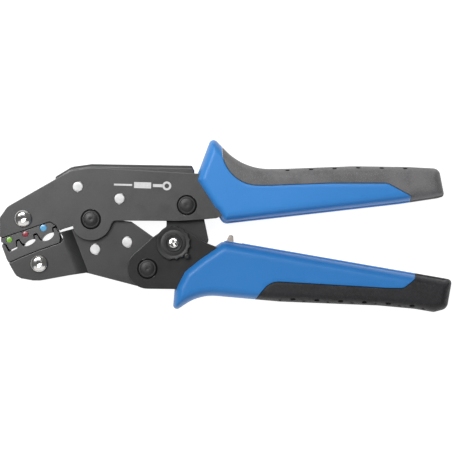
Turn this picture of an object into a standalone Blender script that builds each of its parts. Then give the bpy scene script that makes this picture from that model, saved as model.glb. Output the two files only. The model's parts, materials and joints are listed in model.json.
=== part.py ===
"""Ratchet crimping tool, lying on its back with the jaws at -X and the grips towards +X.

Every outline below is in millimetres, seen from the front (+Z), with the main pivot at (0, 0).
Heights are measured from the mid-plane of the tool, and the rear half mirrors the front half.
"""
from math import atan2, ceil, cos, degrees, hypot, pi, radians, sin, sqrt, tan

import bmesh
import bpy
from mathutils import Vector
from mathutils.geometry import delaunay_2d_cdt

MM = 0.001

# Pivots of the linkage
MAIN_PIVOT = (0.0, 0.0)
JAW_HANDLE_PIVOT = (28.15, -24.6)
WHEEL_PIVOT = (41.2, -11.7)
LINK_PIVOT = (47.75, 7.05)
PAWL_PIVOT = (59.5, -23.5)

# Layers, as distances from the mid-plane
PLATE = 2.5
GAP = 0.3
FRAME_INNER = 4.3
FRAME_OUTER = FRAME_INNER + PLATE
JAW_OUTER = FRAME_INNER - GAP
JAW_INNER = JAW_OUTER - PLATE
JOGGLE = FRAME_INNER - JAW_INNER
DIE_HALF = 4.0
DIE_HEAD = FRAME_OUTER - GAP
DIE_HEAD_GAP = 0.4
DIE_SWING_GAP = 0.6
DIE_WEB = 1.0
DIE_NOTCH = -2.0
LINK_HALF = 2.5
PAWL_HALF = 1.5
GRIP_HALF = 10.0
POCKET_HALF = FRAME_OUTER + GAP

# Fasteners and pins, as radii
PIN = 4.8
PIN_HOLE = PIN + GAP
PIN_END = FRAME_OUTER + 0.35
RIVET = 2.6
RIVET_HOLE = RIVET + 0.2
SCREW = 2.5
SCREW_HOLE = SCREW + 0.2
SCREW_HEAD = 4.4
HEAD_RIM = 0.35
HEAD_RISE = 2.35
SOCKET_FLATS = 3.0
NUT_FLATS = 8.0
NUT_HEIGHT = 2.7
JOURNAL = 4.5
JOURNAL_HOLE = JOURNAL + 0.2
ECCENTRIC = 4.0
ECCENTRICITY = 0.3
LINK_SLACK_HOLE = 5.15
LINK_SLACK_OFFSET = (0.14, 0.165)
PAWL_PIN = 2.0
POST = 1.2

# Places of the fasteners
FRAME_RIVETS = ((-6.5, 16.2), (14.25, 10.25))
JAW_RIVETS = ((2.0, -14.95), (17.95, -11.35))
UPPER_SCREW = (-33.7, 0.4)
LOWER_SCREW = (-25.8, -22.0)
FRAME_TANG_RIVET = (112.0, 13.6)
HANDLE_TANG_RIVET = (112.0, -30.6)
LOCK_SCREW = (47.83, -18.23)
LOCK_SHANK = 0.5
SPRING_POST = (78.0, -28.2)
SPRING_LUG = (61.8, -28.2)
LINK_TAIL = (47.0, 14.8)

# Colour marks on the upper die: name, centre, radius
DOTS = (
    ("dot_green", (-40.6, -10.2), 1.4),
    ("dot_red", (-32.55, -7.4), 1.4),
    ("dot_blue", (-23.65, -4.3), 1.65),
)

# Adjusting wheel
WHEEL_RADIUS = 8.7
WHEEL_LOW = FRAME_OUTER + GAP
WHEEL_HIGH = WHEEL_LOW + 1.8
SCALLOP_DEPTH = 0.7
SCALLOP_ANGLE = 22.5
SCALLOPS = 9
SCALLOP_START = -102.0

# Ratchet sector of the link
TOOTH_TIP = 15.8
TOOTH_ROOT = 14.9
TOOTH_ANGLE = 3.6
TEETH = 16
SECTOR_START = -4.0

# Grips
GRIP_ROUND = 8.0
GRIP_RINGS = (0.9, 2.8, 5.2, GRIP_ROUND)
GRIP_STEP = 9.0

# The main pivot's place in the model, which stands on the middle of its box
PIVOT_AT = (-67.22, 3.34, GRIP_HALF)

AXES = {
    "frame": MAIN_PIVOT,
    "lower_jaw": MAIN_PIVOT,
    "lower_handle": JAW_HANDLE_PIVOT,
    "toggle_link": LINK_PIVOT,
    "wheel": WHEEL_PIVOT,
    "pawl": PAWL_PIVOT,
}
PARENTS = {
    "lower_jaw": "frame",
    "lower_handle": "lower_jaw",
    "toggle_link": "frame",
    "wheel": "lower_handle",
    "pawl": "lower_handle",
}

# Name: colour, metallic, roughness
FINISHES = {
    "black_steel": ((0.075, 0.075, 0.08), 0.6, 0.5),
    "dark_steel": ((0.045, 0.045, 0.048), 0.6, 0.5),
    "die_steel": ((0.06, 0.06, 0.065), 0.7, 0.45),
    "bare_steel": ((0.45, 0.42, 0.38), 0.9, 0.4),
    "rivet_steel": ((0.75, 0.75, 0.75), 0.8, 0.35),
    "chrome": ((0.8, 0.8, 0.8), 1.0, 0.12),
    "spring_steel": ((0.4, 0.4, 0.42), 0.9, 0.35),
    "blue_plastic": ((0.06, 0.24, 0.62), 0.0, 0.35),
    "dark_rubber": ((0.05, 0.05, 0.055), 0.0, 0.7),
    "green_mark": ((0.2, 0.6, 0.08), 0.0, 0.4),
    "red_mark": ((0.5, 0.04, 0.06), 0.0, 0.4),
    "blue_mark": ((0.08, 0.4, 0.75), 0.0, 0.4),
}


# Outlines

def polar(centre, radius, angle):
    return (centre[0] + radius * cos(radians(angle)), centre[1] + radius * sin(radians(angle)))


def arc(centre, radius, start, end, steps):
    return [polar(centre, radius, start + (end - start) * i / steps) for i in range(steps + 1)]


def circle(centre, radius, sides=24):
    return arc(centre, radius, 0, 360, sides)[:-1]


def hexagon(centre, flats, start):
    return arc(centre, flats / 2 / cos(radians(30)), start, start + 300, 5)


def bow(start, end, sag, steps=6):
    """Points of an arc from start to end that stands sag to the left of the chord."""
    chord = hypot(end[0] - start[0], end[1] - start[1])
    along = ((end[0] - start[0]) / chord, (end[1] - start[1]) / chord)
    radius = (chord * chord / 4 + sag * sag) / (2 * abs(sag))
    side = 1 if sag > 0 else -1
    points = []
    for i in range(steps + 1):
        u = chord * i / steps
        rise = sqrt(radius * radius - (u - chord / 2) ** 2) - (radius - abs(sag))
        points.append((start[0] + along[0] * u - along[1] * rise * side,
                       start[1] + along[1] * u + along[0] * rise * side))
    return points


def rounded(corners, closed=True, step=14.0):
    """The corners as points, where a corner (x, y, radius) becomes an arc."""
    points = []
    count = len(corners)
    for i, corner in enumerate(corners):
        at_end = not closed and i in (0, count - 1)
        if len(corner) == 2 or at_end:
            points.append(tuple(corner[:2]))
            continue
        here = Vector(corner[:2])
        back = (Vector(corners[i - 1][:2]) - here).normalized()
        on = (Vector(corners[(i + 1) % count][:2]) - here).normalized()
        half = back.angle(on) / 2
        reach = corner[2] / tan(half)
        centre = here + (back + on).normalized() * (corner[2] / sin(half))
        first = here + back * reach - centre
        last = here + on * reach - centre
        turn = atan2(first.cross(last), first.dot(last))
        steps = max(1, ceil(degrees(abs(turn)) / step))
        start = degrees(atan2(first.y, first.x))
        points += arc(centre, corner[2], start, start + degrees(turn), steps)
    return points


def divided(loop, longest):
    """The same outline with its long sides split into equal lengths."""
    points = []
    for (ax, ay), (bx, by) in zip(loop, loop[1:] + loop[:1]):
        parts = ceil(hypot(bx - ax, by - ay) / longest)
        points += [(ax + (bx - ax) * i / parts, ay + (by - ay) * i / parts) for i in range(parts)]
    return points


def area(loop):
    return sum(a[0] * b[1] - b[0] * a[1] for a, b in zip(loop, loop[1:] + loop[:1])) / 2


def grown(points, distance, closed=True):
    """The line moved sideways: outwards for a closed one, to the left for an open one."""
    outward = -1 if closed and area(points) > 0 else 1
    moved = []
    for i, point in enumerate(points):
        here = Vector(point)
        before = Vector(points[i - 1]) if closed or i else None
        after = Vector(points[(i + 1) % len(points)]) if closed or i < len(points) - 1 else None
        runs = [here - before] if before else []
        runs += [after - here] if after else []
        runs = [run.normalized() for run in runs]
        normal = sum((Vector((-r.y, r.x)) for r in runs), Vector((0, 0))).normalized()
        stretch = normal.dot(Vector((-runs[0].y, runs[0].x)))
        moved.append(tuple(here + normal * (outward * distance / max(stretch, 0.5))))
    return moved


def depth(point, loop):
    """Distance of a point from the nearest side of a closed outline."""
    p = Vector(point)
    nearest = 1e9
    for a, b in zip(loop, loop[1:] + loop[:1]):
        start = Vector(a)
        run = Vector(b) - start
        t = min(1.0, max(0.0, (p - start).dot(run) / run.length_squared))
        nearest = min(nearest, (start + run * t - p).length)
    return nearest


def inside(point, loop):
    x, y = point
    hit = False
    for (ax, ay), (bx, by) in zip(loop, loop[1:] + loop[:1]):
        if (ay > y) != (by > y) and x < ax + (y - ay) / (by - ay) * (bx - ax):
            hit = not hit
    return hit


# Solids, as bmeshes in millimetres

def filled(loops):
    """Triangles that cover the first loop less the others, as indices into all their points."""
    flat = bmesh.new()
    edges = []
    for loop in loops:
        verts = [flat.verts.new((x, y, 0)) for x, y in loop]
        edges += [flat.edges.new(pair) for pair in zip(verts, verts[1:] + verts[:1])]
    flat.verts.index_update()
    bmesh.ops.triangle_fill(flat, use_beauty=True, edges=edges)
    triangles = [[v.index for v in face.verts] for face in flat.faces]
    flat.free()
    return triangles


def prism(outline, low, high, holes=()):
    """A plate between two heights. Each hole is (centre, radius)."""
    loops = [outline] + [circle(centre, radius) for centre, radius in holes]
    bm = bmesh.new()
    bottom = [bm.verts.new((x, y, low)) for loop in loops for x, y in loop]
    top = [bm.verts.new((x, y, high)) for loop in loops for x, y in loop]
    for triangle in filled(loops):
        bm.faces.new([bottom[i] for i in triangle])
        bm.faces.new([top[i] for i in triangle])
    first = 0
    for loop in loops:
        for i in range(len(loop)):
            a = first + i
            b = first + (i + 1) % len(loop)
            bm.faces.new((bottom[a], bottom[b], top[b], top[a]))
        first += len(loop)
    bmesh.ops.recalc_face_normals(bm, faces=bm.faces)
    return bm


def turned(profile, centre, sides=24):
    """A round solid from (radius, height[, x offset, y offset]), closed on its axis or as a ring."""
    bm = bmesh.new()
    rings = []
    for radius, height, *offset in profile:
        dx, dy = offset or (0, 0)
        middle = (centre[0] + dx, centre[1] + dy)
        if radius:
            rings.append([bm.verts.new((x, y, height)) for x, y in circle(middle, radius, sides)])
        else:
            rings.append([bm.verts.new((*middle, height))] * sides)
    pairs = list(zip(rings, rings[1:]))
    if profile[0][0]:
        pairs.append((rings[-1], rings[0]))
    for lower, upper in pairs:
        for i in range(sides):
            j = (i + 1) % sides
            corners = dict.fromkeys((lower[i], lower[j], upper[j], upper[i]))
            bm.faces.new(corners)
    bmesh.ops.recalc_face_normals(bm, faces=bm.faces)
    return bm


def wire(path, radius, sides=5):
    """A round wire along a path of 3-D points, with flat ends."""
    bm = bmesh.new()
    points = [Vector(p) for p in path]
    across = Vector((0, 0, 1))
    rings = []
    for i, point in enumerate(points):
        run = (points[min(i + 1, len(points) - 1)] - points[max(i - 1, 0)]).normalized()
        if abs(run.dot(across)) > 0.99:
            across = run.orthogonal()
        across = (across - run * run.dot(across)).normalized()
        up = run.cross(across)
        turns = [2 * pi * k / sides for k in range(sides)]
        rings.append([bm.verts.new(point + (across * cos(t) + up * sin(t)) * radius) for t in turns])
    for lower, upper in zip(rings, rings[1:]):
        for k in range(sides):
            m = (k + 1) % sides
            bm.faces.new((lower[k], lower[m], upper[m], upper[k]))
    bm.faces.new(rings[0])
    bm.faces.new(rings[-1])
    bmesh.ops.recalc_face_normals(bm, faces=bm.faces)
    return bm


def coil(start, end, radius, turns, steps=8):
    """Points of a coil about the line from start to end, in the mid-plane. It begins at the front."""
    run = Vector((end[0] - start[0], end[1] - start[1], 0))
    side = Vector((-run.y, run.x, 0)).normalized()
    points = []
    for i in range(turns * steps + 1):
        turn = 2 * pi * i / steps
        middle = Vector((*start, 0)) + run * (i / (turns * steps))
        points.append(middle + (Vector((0, 0, 1)) * cos(turn) + side * sin(turn)) * radius)
    return points


def pillow(outline):
    """A grip: flat front and back faces whose edges round over into the outline at mid-height."""
    rim = divided(outline, GRIP_STEP)
    points = list(rim)
    for ring in GRIP_RINGS:
        for point in grown(rim, -ring):
            if inside(point, rim) and depth(point, rim) > 0.96 * ring:
                points.append(point)
    edges = [(i, (i + 1) % len(rim)) for i in range(len(rim))]
    flat, _, triangles, origins, _, _ = delaunay_2d_cdt([Vector(p) for p in points], edges, [], 1, 1e-4)
    bm = bmesh.new()
    front = []
    back = []
    for point, origin in zip(flat, origins):
        on_rim = bool(origin) and min(origin) < len(rim)
        reach = 0.0 if on_rim else min(depth(point, rim), GRIP_ROUND) / GRIP_ROUND
        height = GRIP_HALF * sqrt(1 - (1 - reach) ** 2)
        front.append(bm.verts.new((point.x, point.y, height)))
        back.append(front[-1] if on_rim else bm.verts.new((point.x, point.y, -height)))
    for triangle in triangles:
        for side in (front, back):
            bm.faces.new([side[i] for i in triangle])
    bmesh.ops.recalc_face_normals(bm, faces=bm.faces)
    return bm


# Objects

def clear_scene():
    for old in list(bpy.data.objects):
        bpy.data.objects.remove(old, do_unlink=True)


def make_material(name):
    colour, metallic, roughness = FINISHES[name]
    material = bpy.data.materials.new(name)
    material.use_nodes = True
    shader = material.node_tree.nodes["Principled BSDF"]
    shader.inputs["Base Color"].default_value = (*colour, 1)
    shader.inputs["Metallic"].default_value = metallic
    shader.inputs["Roughness"].default_value = roughness
    return material


def make_axes():
    """One empty on each body's joint axis. The frame's empty carries the others."""
    for body, (x, y) in AXES.items():
        empty = bpy.data.objects.new(body + "_axis", None)
        bpy.context.scene.collection.objects.link(empty)
        parent = PARENTS.get(body)
        if parent:
            px, py = AXES[parent]
            empty.parent = bpy.data.objects[parent + "_axis"]
            empty.location = ((x - px) * MM, (y - py) * MM, 0)
        else:
            empty.location = [value * MM for value in PIVOT_AT]


def add(name, bm, body, finish, smooth=True):
    """Puts a solid in the scene under its body's axis."""
    x, y = AXES[body]
    bmesh.ops.translate(bm, vec=(-x, -y, 0), verts=bm.verts)
    bmesh.ops.scale(bm, vec=(MM, MM, MM), verts=bm.verts)
    mesh = bpy.data.meshes.new(name)
    bm.to_mesh(mesh)
    bm.free()
    if smooth:
        mesh.shade_smooth()
        mesh.set_sharp_from_angle(angle=radians(35))
    if finish:
        mesh.materials.append(bpy.data.materials[finish])
    obj = bpy.data.objects.new(name, mesh)
    obj.parent = bpy.data.objects[body + "_axis"]
    bpy.context.scene.collection.objects.link(obj)
    return obj


def cut(obj, name, bm, body):
    """Takes a solid away from an object."""
    cutter = add(name, bm, body, None, smooth=False)
    cutter.hide_render = True
    cutter.display_type = "WIRE"
    modifier = obj.modifiers.new(name, "BOOLEAN")
    modifier.operation = "DIFFERENCE"
    modifier.solver = "EXACT"
    modifier.object = cutter


# Outlines of the plates and dies

def frame_outline():
    return rounded([
        (-45.4, 0.75, 1.0), (-45.4, -8.75, 0.4), (-44.2, -9.1), (-20.3, -1.0, 1.8), (-17.4, -3.0),
        (-16.0, -5.7), (-15.1, -5.05), (-9.9, -3.45), (-9.0, -3.4),
        *arc(MAIN_PIVOT, 10.5, -139, -25, 12),
        (11.0, -0.65, 2.2), (44.25, -0.85), (56.25, 0.0), (62.25, 0.5), (66.5, 2.2), (92.0, 5.3),
        (150.0, 12.0), (156.5, 12.8, 2.0), (156.5, 20.5, 3.0), (110.0, 20.5), (75.0, 21.5),
        (52.05, 22.65), (18.45, 24.6),
        (1.0, 25.65), (-9.75, 24.25, 1.0), (-17.2, 20.2), (-40.65, 6.8, 2.0), (-41.85, 5.8, 1.0),
    ])


def jaw_outline():
    return rounded([
        (-15.5, -6.5), (-9.6, -4.9),
        *arc(MAIN_PIVOT, 9.0, 208, 0, 16),
        (19.8, -1.1, 1.0), (31.0, -9.0),
        *arc(JAW_HANDLE_PIVOT, 9.7, 73, -105, 14),
        (-2.3, -26.65), (-10.3, -27.8), (-25.15, -30.5, 4.0), (-28.8, -30.45), (-34.75, -29.4, 1.5),
        (-36.9, -28.2, 1.0), (-37.95, -26.9), (-40.75, -21.9), (-34.25, -18.9), (-26.6, -15.85),
        (-14.1, -11.5, 2.5), (-13.9, -8.6, 1.2),
    ])


def handle_outline():
    return rounded([
        (30.75, -8.95, 3.0),
        *arc(WHEEL_PIVOT, 8.3, 122, 44, 7),
        (49.1, -6.9), (58.0, -12.05), (61.75, -13.5), (66.0, -15.2), (75.0, -16.8), (122.0, -25.3),
        (157.5, -31.6, 3.0), (157.5, -38.9, 3.0), (118.0, -38.0), (94.0, -37.2), (64.0, -35.0), (55.0, -35.3),
        (40.75, -34.75),
        *arc(JAW_HANDLE_PIVOT, 10.0, -90, -222, 11),
    ])


def upper_die_outline():
    """Clockwise from the front tip along the parting line, with webs where its notches are."""
    return [
        (-44.6, -11.5), (-44.3, -12.9), (-42.85, -13.5), (-41.5, -16.0), (-40.75, -16.3), (-40.45, -15.2),
        (-37.05, -13.65), (-37.0, -14.3), (-33.5, -13.1),
        *bow((-33.45, -12.3), (-28.25, -9.95), 0.75),
        (-27.5, -10.5), (-27.2, -10.9), (-24.9, -10.9),
        *bow((-24.8, -10.0), (-18.95, -6.6), 0.95),
        (-18.5, -7.2), (-17.0, -7.3), (-16.6, -5.2), (-17.5, -3.0), (-17.3, -1.4), (-20.0, 11.5),
        (-42.5, 3.8), (-44.9, 0.6), (-44.9, -8.75),
    ]


def upper_die_notches():
    """Notches for the lower die's posts. They stop at the webs, at the level DIE_NOTCH."""
    return [
        [(-45.6, -11.1), (-42.1, -12.3), (-40.75, -14.9), (-40.4, -15.1), (-40.2, -17.2), (-45.6, -17.2)],
        [(-37.12, -13.0), (-37.2, -12.2), (-37.35, -10.5), (-35.6, -9.75), (-34.45, -11.65),
         (-33.39, -12.2), (-33.2, -14.6), (-37.12, -15.2)],
        [(-28.33, -9.5), (-28.7, -7.45), (-27.0, -6.8), (-24.74, -9.88), (-24.6, -11.8), (-28.33, -11.8)],
        [(-19.03, -6.3), (-19.25, -4.0), (-17.5, -3.3), (-16.0, -2.7), (-15.6, -8.2), (-19.03, -8.2)],
    ]


def lower_die_notches():
    """Room behind the lower die's posts for the upper die's webs."""
    return [
        [(-45.6, -10.0), (-45.6, -14.05), (-43.2, -14.2), (-41.9, -16.9), (-40.1, -17.1), (-39.8, -14.6)],
        [(-37.7, -12.8), (-37.6, -15.1), (-32.9, -13.9), (-33.0, -8.5), (-38.2, -8.5)],
        [(-29.0, -9.0), (-28.0, -10.9), (-27.6, -11.6), (-24.3, -11.6), (-24.3, -6.0), (-29.0, -6.0)],
        [(-19.6, -6.8), (-18.9, -8.0), (-16.3, -8.1), (-15.7, -5.2), (-16.6, -2.0), (-20.0, -2.0)],
    ]


def lower_die_outline():
    """Clockwise from the front tip. Its posts stand in the upper die's notches."""
    return [
        (-44.2, -12.45), (-42.6, -12.95), (-41.25, -15.5), (-40.4, -16.3), (-36.6, -14.4),
        (-36.8, -11.15), (-35.65, -10.65), (-34.1, -13.1),
        *bow((-33.6, -13.35), (-27.55, -10.4), -0.95),
        (-28.15, -8.2), (-26.95, -7.7),
        *bow((-25.1, -10.5), (-18.4, -7.8), -1.35),
        (-18.7, -4.7), (-16.9, -4.0), (-15.5, -7.5), (-13.2, -12.5), (-12.8, -18.2), (-14.5, -24.5),
        (-28.0, -28.2), (-34.8, -27.6), (-37.0, -25.9), (-40.9, -21.5), (-41.9, -19.8), (-44.2, -13.5),
    ]


def lower_die_tang():
    """All of the lower die that lies between the jaw plates, up to a line just above their edge."""
    return [
        (-46.0, -23.85), (-34.4, -18.5), (-26.75, -15.45), (-10.0, -9.6), (-10.0, -40.0), (-46.0, -40.0),
    ]


def lower_die_relief():
    """Room beside the lower die's inner end, where the jaw plates leave a wider gap."""
    return [
        (-16.2, -5.8), (-15.9, -6.9), (-15.3, -9.4), (-15.6, -11.4), (-16.6, -12.4), (-14.0, -13.5),
        (-11.5, -10.0), (-12.5, -4.5),
    ]


def link_outline():
    """Clockwise from the spring tail: plain right edge, toothed sector, wheel hub and back."""
    teeth = []
    for i in range(TEETH):
        angle = SECTOR_START - i * TOOTH_ANGLE
        teeth.append(polar(WHEEL_PIVOT, TOOTH_TIP, angle))
        teeth.append(polar(WHEEL_PIVOT, TOOTH_ROOT, angle - 0.3 * TOOTH_ANGLE))
    last = SECTOR_START - TEETH * TOOTH_ANGLE
    return rounded([
        *arc((47.2, 14.6), 2.6, 195, -15, 8),
        *arc(LINK_PIVOT, 7.2, 55, 0, 5),
        (56.4, -0.25), (58.5, -10.2), (58.15, -11.9, 0.9), (56.6, -12.3),
        *teeth,
        polar(WHEEL_PIVOT, TOOTH_TIP, last), polar(WHEEL_PIVOT, 13.5, last - 3),
        *arc(WHEEL_PIVOT, 7.8, -110, -228, 9),
        (37.5, -3.2), (37.5, 0.5),
        *arc(LINK_PIVOT, 7.2, 190, 130, 5),
    ])


def pawl_outline():
    """Clockwise from the tooth: back, release tongue, hub and spring lug."""
    return rounded([
        (56.9, -17.4), (60.5, -16.0), (64.2, -16.2, 2.0), (66.9, -11.6), (69.1, -7.4, 1.0), (70.9, -8.4, 0.8),
        (71.0, -11.6), (69.0, -17.0, 2.0), (64.6, -22.4, 1.0),
        (64.0, -26.0, 1.5), (63.8, -28.9, 1.5), (60.6, -30.2, 1.6), (59.3, -27.2, 0.8),
        *arc(PAWL_PIVOT, 3.4, -115, -200, 6),
        (57.0, -19.5, 0.6),
    ])


def wheel_outline():
    """Nine finger scallops on one side of the rim, and a plain rim on the other."""
    points = []
    steps = 6
    for i in range(SCALLOPS * steps):
        dip = SCALLOP_DEPTH * sin(pi * (i % steps) / steps) ** 0.7 if i % steps else 0.0
        points.append(polar(WHEEL_PIVOT, WHEEL_RADIUS - dip, SCALLOP_START + SCALLOP_ANGLE * i / steps))
    end = SCALLOP_START + SCALLOP_ANGLE * SCALLOPS
    return points + arc(WHEEL_PIVOT, WHEEL_RADIUS, end, SCALLOP_START + 360, 16)[:-1]


def upper_grip_outline():
    return rounded([
        (51.85, 19.5, 2.5), (60.12, 41.6, 2.3), (75.9, 25.1, 30.0), (97.0, 25.3), (131.0, 26.6, 60.0),
        (158.0, 26.2), (173.6, 25.4, 3.8), (176.3, 11.5, 1.6), (172.75, 10.45), (153.65, 7.55),
        (75.65, -1.3), (65.9, -2.4, 3.6),
    ])


def upper_split():
    """Edge between shell and pad, from the thumb guard to the underside at the rear."""
    return rounded([
        (65.3, 42.0), (65.3, 16.8, 18.0), (89.4, 16.8), (119.0, 17.9), (147.5, 17.9, 8.0),
        (159.1, 11.6, 1.0), (159.3, 4.0),
    ], closed=False)


def lower_grip_outline():
    return rounded([
        (66.44, -10.36, 3.0), (53.8, -19.0), (45.9, -25.4, 7.0), (41.6, -33.8, 8.0),
        (40.45, -46.7, 1.9), (54.2, -37.6, 24.0), (94.15, -41.15), (143.3, -43.1),
        (161.3, -44.75), (171.0, -46.4, 3.0), (177.6, -44.6, 4.0), (180.2, -30.1, 2.2),
    ])


def lower_split():
    return rounded([
        (76.6, -46.0), (89.4, -30.8, 9.0), (147.85, -34.2), (155.5, -34.3, 5.0), (161.0, -29.9, 1.5),
        (163.0, -23.0),
    ], closed=False)


# Pieces

def both_sides(name, outline, inner, outer, body, finish, holes, front_holes=()):
    """A front plate and its mirror image behind."""
    add(name + "_front", prism(outline, inner, outer, [*holes, *front_holes]), body, finish)
    add(name + "_rear", prism(outline, -outer, -inner, holes), body, finish)


def joggled(bm):
    """Steps a jaw plate outwards over a slanting band, so that its jaw end lies in the frame's layer.

    The step is a crease on the pivot's side, and rounds over into the jaw end.
    """
    normal = Vector((0.934, 0.357, 0))
    start = -10.8
    band = 6.5
    steps = 6
    for i in range(steps + 1):
        geometry = [*bm.verts, *bm.edges, *bm.faces]
        at = normal * (start - band * i / steps)
        bmesh.ops.bisect_plane(bm, geom=geometry, plane_co=at, plane_no=normal, dist=1e-4)
    for vert in bm.verts:
        share = min(1.0, max(0.0, (start - vert.co.dot(normal)) / band))
        lift = JOGGLE * (1 - (1 - share) ** 2)
        vert.co.z += lift if vert.co.z > 0 else -lift
    bmesh.ops.triangulate(bm, faces=bm.faces)
    return bm


def pin(name, centre, body, finish="dark_steel"):
    """A riveted pivot with a chamfer on each end."""
    ease = 0.35
    profile = [(0, -PIN_END), (PIN - ease, -PIN_END), (PIN, ease - PIN_END), (PIN, PIN_END - ease),
               (PIN - ease, PIN_END), (0, PIN_END)]
    add(name, turned(profile, centre), body, finish)


def rivet(name, centre, body, end):
    ease = 0.2
    profile = [(0, -end), (RIVET - ease, -end), (RIVET, ease - end), (RIVET, end - ease),
               (RIVET - ease, end), (0, end)]
    add(name, turned(profile, centre, 16), body, "rivet_steel")


def washer(name, centre, inner, outer, body):
    """A pair of spacers that fill the room between the link and the outer plates."""
    for side, low in (("_front", LINK_HALF + GAP), ("_rear", -FRAME_INNER + GAP)):
        high = low + FRAME_INNER - LINK_HALF - 2 * GAP
        ring = turned([(inner, low), (outer, low), (outer, high), (inner, high)], centre, 20)
        add(name + side, ring, body, "bare_steel")


def die_screw(name, centre, body):
    """A button-head socket screw from the front and its thin nut behind."""
    low = FRAME_OUTER + 0.1
    dome = []
    for angle in (0, 24, 46, 66):
        turn = radians(angle)
        dome.append((SCREW_HEAD * cos(turn), low + HEAD_RIM + HEAD_RISE * sin(turn)))
    top = dome[-1][1]
    tip = FRAME_OUTER + NUT_HEIGHT - 0.2
    profile = [(0, -tip), (SCREW - 0.4, -tip), (SCREW, 0.4 - tip), (SCREW, low), (SCREW_HEAD, low),
               *dome, (0, top)]
    screw = add(name + "_screw", turned(profile, centre), body, "chrome")
    socket = hexagon(centre, SOCKET_FLATS, 30)
    cut(screw, name + "_socket", prism(socket, top - SOCKET_FLATS / 2, top + 1), body)
    outline = hexagon(centre, NUT_FLATS, 0)
    nut = prism(outline, -FRAME_OUTER - NUT_HEIGHT, -FRAME_OUTER - 0.1, [(centre, SCREW + 0.12)])
    add(name + "_nut", nut, body, "chrome")


def die(name, outline, screw, rooms, body):
    """A die: its tang lies between the plates, and its heads fill their thickness where they end.

    Each room is an outline that the heads keep out of, and its level above the mid-plane.
    """
    block = prism(outline, -DIE_HEAD, DIE_HEAD, [(screw, SCREW_HOLE)])
    solid = add(name, block, body, "die_steel")
    clear = DIE_HEAD + 1
    for i, (room, level) in enumerate(rooms):
        cut(solid, f"{name}_front_room_{i}", prism(room, level, clear), body)
        cut(solid, f"{name}_rear_room_{i}", prism(room, -clear, -level), body)
    return solid


def spine():
    """Folded channel between the frame plates: x, top, lower edge of the legs at each station."""
    stations = [(-17.85, 21.3, 17.4), (-16.85, 21.9, 16.6), (-10.3, 25.85, 12.6), (-8.7, 26.35, 12.3),
                (0.3, 27.6, 12.3), (4.0, 27.54, 12.3), (9.5, 27.45, 6.7), (19.0, 27.3, 6.7),
                (24.5, 27.2, 16.5), (50.2, 26.8, 18.3), (51.4, 24.4, 18.5)]
    outer = JAW_OUTER
    inner = 2.0
    bend = 1.8
    bm = bmesh.new()
    rings = []
    for x, top, foot in stations:
        shoulder = arc((outer - bend, top - bend), bend, 0, 90, 3)
        half = [(inner, top - inner), (inner, foot), (outer, foot), *shoulder]
        section = half + [(-z, y) for z, y in reversed(half)]
        rings.append([bm.verts.new((x, y, z)) for z, y in section])
    for lower, upper in zip(rings, rings[1:]):
        for i in range(len(lower)):
            j = (i + 1) % len(lower)
            bm.faces.new((lower[i], lower[j], upper[j], upper[i]))
    bm.faces.new(rings[0])
    bm.faces.new(rings[-1])
    bmesh.ops.recalc_face_normals(bm, faces=bm.faces)
    bmesh.ops.triangulate(bm, faces=bm.faces)
    channel = add("frame_spine", bm, "frame", "black_steel")
    for i, centre in enumerate(FRAME_RIVETS, 1):
        hole = prism(circle(centre, RIVET_HOLE, 16), -outer - 1, outer + 1)
        cut(channel, f"spine_hole_{i}", hole, "frame")


def grip(name, outline, split, plates, body, extra=()):
    """A hard shell and a soft pad, hollowed for the steel plates that the grip is pressed on."""
    side = 80 if split[0][1] > split[-1][1] else -80
    start = split[0][0]
    end = split[-1][0]
    rear = [(end, -side), (220, -side), (220, side), (start, side)]
    front = [(end, -side), (20, -side), (20, side), (start, side)]
    apart = grown(split, GAP if side > 0 else -GAP, closed=False)
    halves = (("_shell", "blue_plastic", split + rear), ("_pad", "dark_rubber", apart + front))
    for ending, finish, away in halves:
        half = add(name + ending, pillow(outline), body, finish)
        cut(half, name + ending + "_away", prism(away, -20, 20), body)
        cut(half, name + ending + "_pocket", prism(grown(plates, GAP), -POCKET_HALF, POCKET_HALF), body)
        for i, cutter in enumerate(extra):
            cut(half, f"{name}{ending}_slot_{i}", prism(*cutter), body)


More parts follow.
